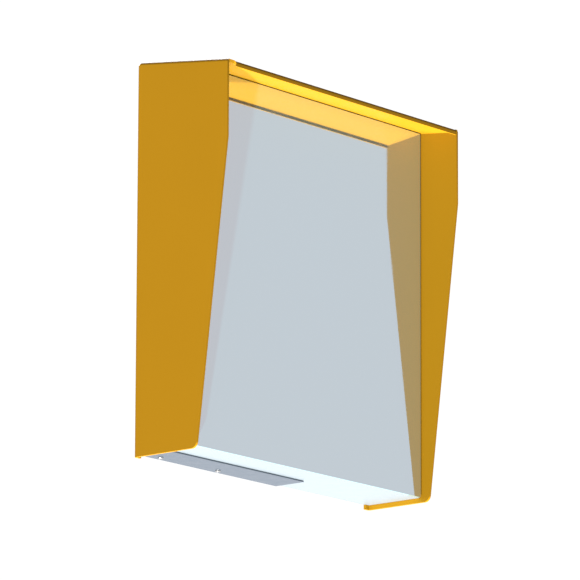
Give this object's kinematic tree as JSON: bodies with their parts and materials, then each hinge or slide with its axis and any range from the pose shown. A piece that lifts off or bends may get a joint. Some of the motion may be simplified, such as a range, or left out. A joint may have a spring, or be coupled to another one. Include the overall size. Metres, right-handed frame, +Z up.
{
  "type": "pedestrian signal head",
  "caption": "Shallow pedestrian crossing signal head with a yellow sheet hood, flat gray front lens, light unit inside and a hinged, latched rear service door.",
  "frame": {"origin": "on the bottom mounting face: middle of the width, 9 mm in front of the rear edge of the wings, on the underside of the mounting strip", "axes": "+Z up, front of the signal towards -Y, +X to the right when one looks at its front"},
  "size_m": [0.43, 0.138, 0.469],
  "materials": {
    "hood_yellow": "satin powder coat, traffic yellow",
    "case_gray": "satin powder coat, light gray",
    "lens_gray": "glossy gray front, light off",
    "strip_gray": "satin coat, mid gray",
    "rubber": "matt foam rubber",
    "steel": "zinc plated",
    "circuit_green": "solder-masked circuit board",
    "led_amber": "tinted clear epoxy, off",
    "led_clear": "clear epoxy, off",
    "nylon_black": "moulded nylon",
    "aluminium": "plain extruded",
    "capacitor_blue": "shrink sleeve",
    "cable_gray": "cable jacket"
  },
  "bodies": {
    "head": {"hood": "hood_yellow", "case": "case_gray", "mounting_strip": "strip_gray", "lens": "lens_gray", "lens_gasket": "rubber", "led_board": "circuit_green", "hand_led_panel": "led_amber", "walker_led_panel": "led_clear", "supply_board": "circuit_green", "transformer": "nylon_black", "heat_sink": "aluminium", "supply_connector": "nylon_black", "terminal_block": "nylon_black", "supply_lead": "cable_gray", "door_gasket": "rubber", "lens_screw_1": "steel", "lens_screw_2": "steel", "lens_screw_3": "steel", "lens_screw_4": "steel", "lens_screw_5": "steel", "lens_screw_6": "steel", "board_standoff_1": "aluminium", "board_screw_1": "steel", "supply_spacer_1": "nylon_black", "board_standoff_2": "aluminium", "board_screw_2": "steel", "supply_spacer_2": "nylon_black", "board_standoff_3": "aluminium", "board_screw_3": "steel", "supply_spacer_3": "nylon_black", "board_standoff_4": "aluminium", "board_screw_4": "steel", "supply_spacer_4": "nylon_black", "capacitor_1": "capacitor_blue", "strip_screw_1": "steel", "capacitor_2": "capacitor_blue", "strip_screw_2": "steel", "hood_nut_left_lower": "steel", "hood_nut_left_upper": "steel", "hood_nut_right_lower": "steel", "hood_nut_right_upper": "steel", "hinge_fixed_leaf_upper": "steel", "hinge_pin_upper": "steel", "hinge_fixed_leaf_lower": "steel", "hinge_pin_lower": "steel"},
    "door": {"rear_door": "case_gray", "latch_bush_upper": "steel", "latch_bush_lower": "steel", "gland_body": "nylon_black", "gland_cap": "nylon_black", "gland_seal": "rubber", "gland_locknut": "nylon_black", "hinge_door_leaf_upper": "steel", "hinge_door_leaf_lower": "steel"},
    "latch_upper": {"latch_knob_upper": "steel", "latch_cam_upper": "steel", "latch_nut_upper": "steel"},
    "latch_lower": {"latch_knob_lower": "steel", "latch_cam_lower": "steel", "latch_nut_lower": "steel"}
  },
  "joints": [
    {"name": "door_swing", "type": "hinge", "parent": "head", "child": "door", "pos_m": [0.197, -0.0047, 0.23], "axis": [0, 0, -1], "range_deg": [0, 105]},
    {"name": "latch_upper_turn", "type": "hinge", "parent": "door", "child": "latch_upper", "pos_m": [-0.182, -0.009, 0.35], "axis": [0, 1, 0], "range_deg": [0, 90]},
    {"name": "latch_lower_turn", "type": "hinge", "parent": "door", "child": "latch_lower", "pos_m": [-0.182, -0.009, 0.11], "axis": [0, 1, 0], "range_deg": [0, 90]}
  ]
}
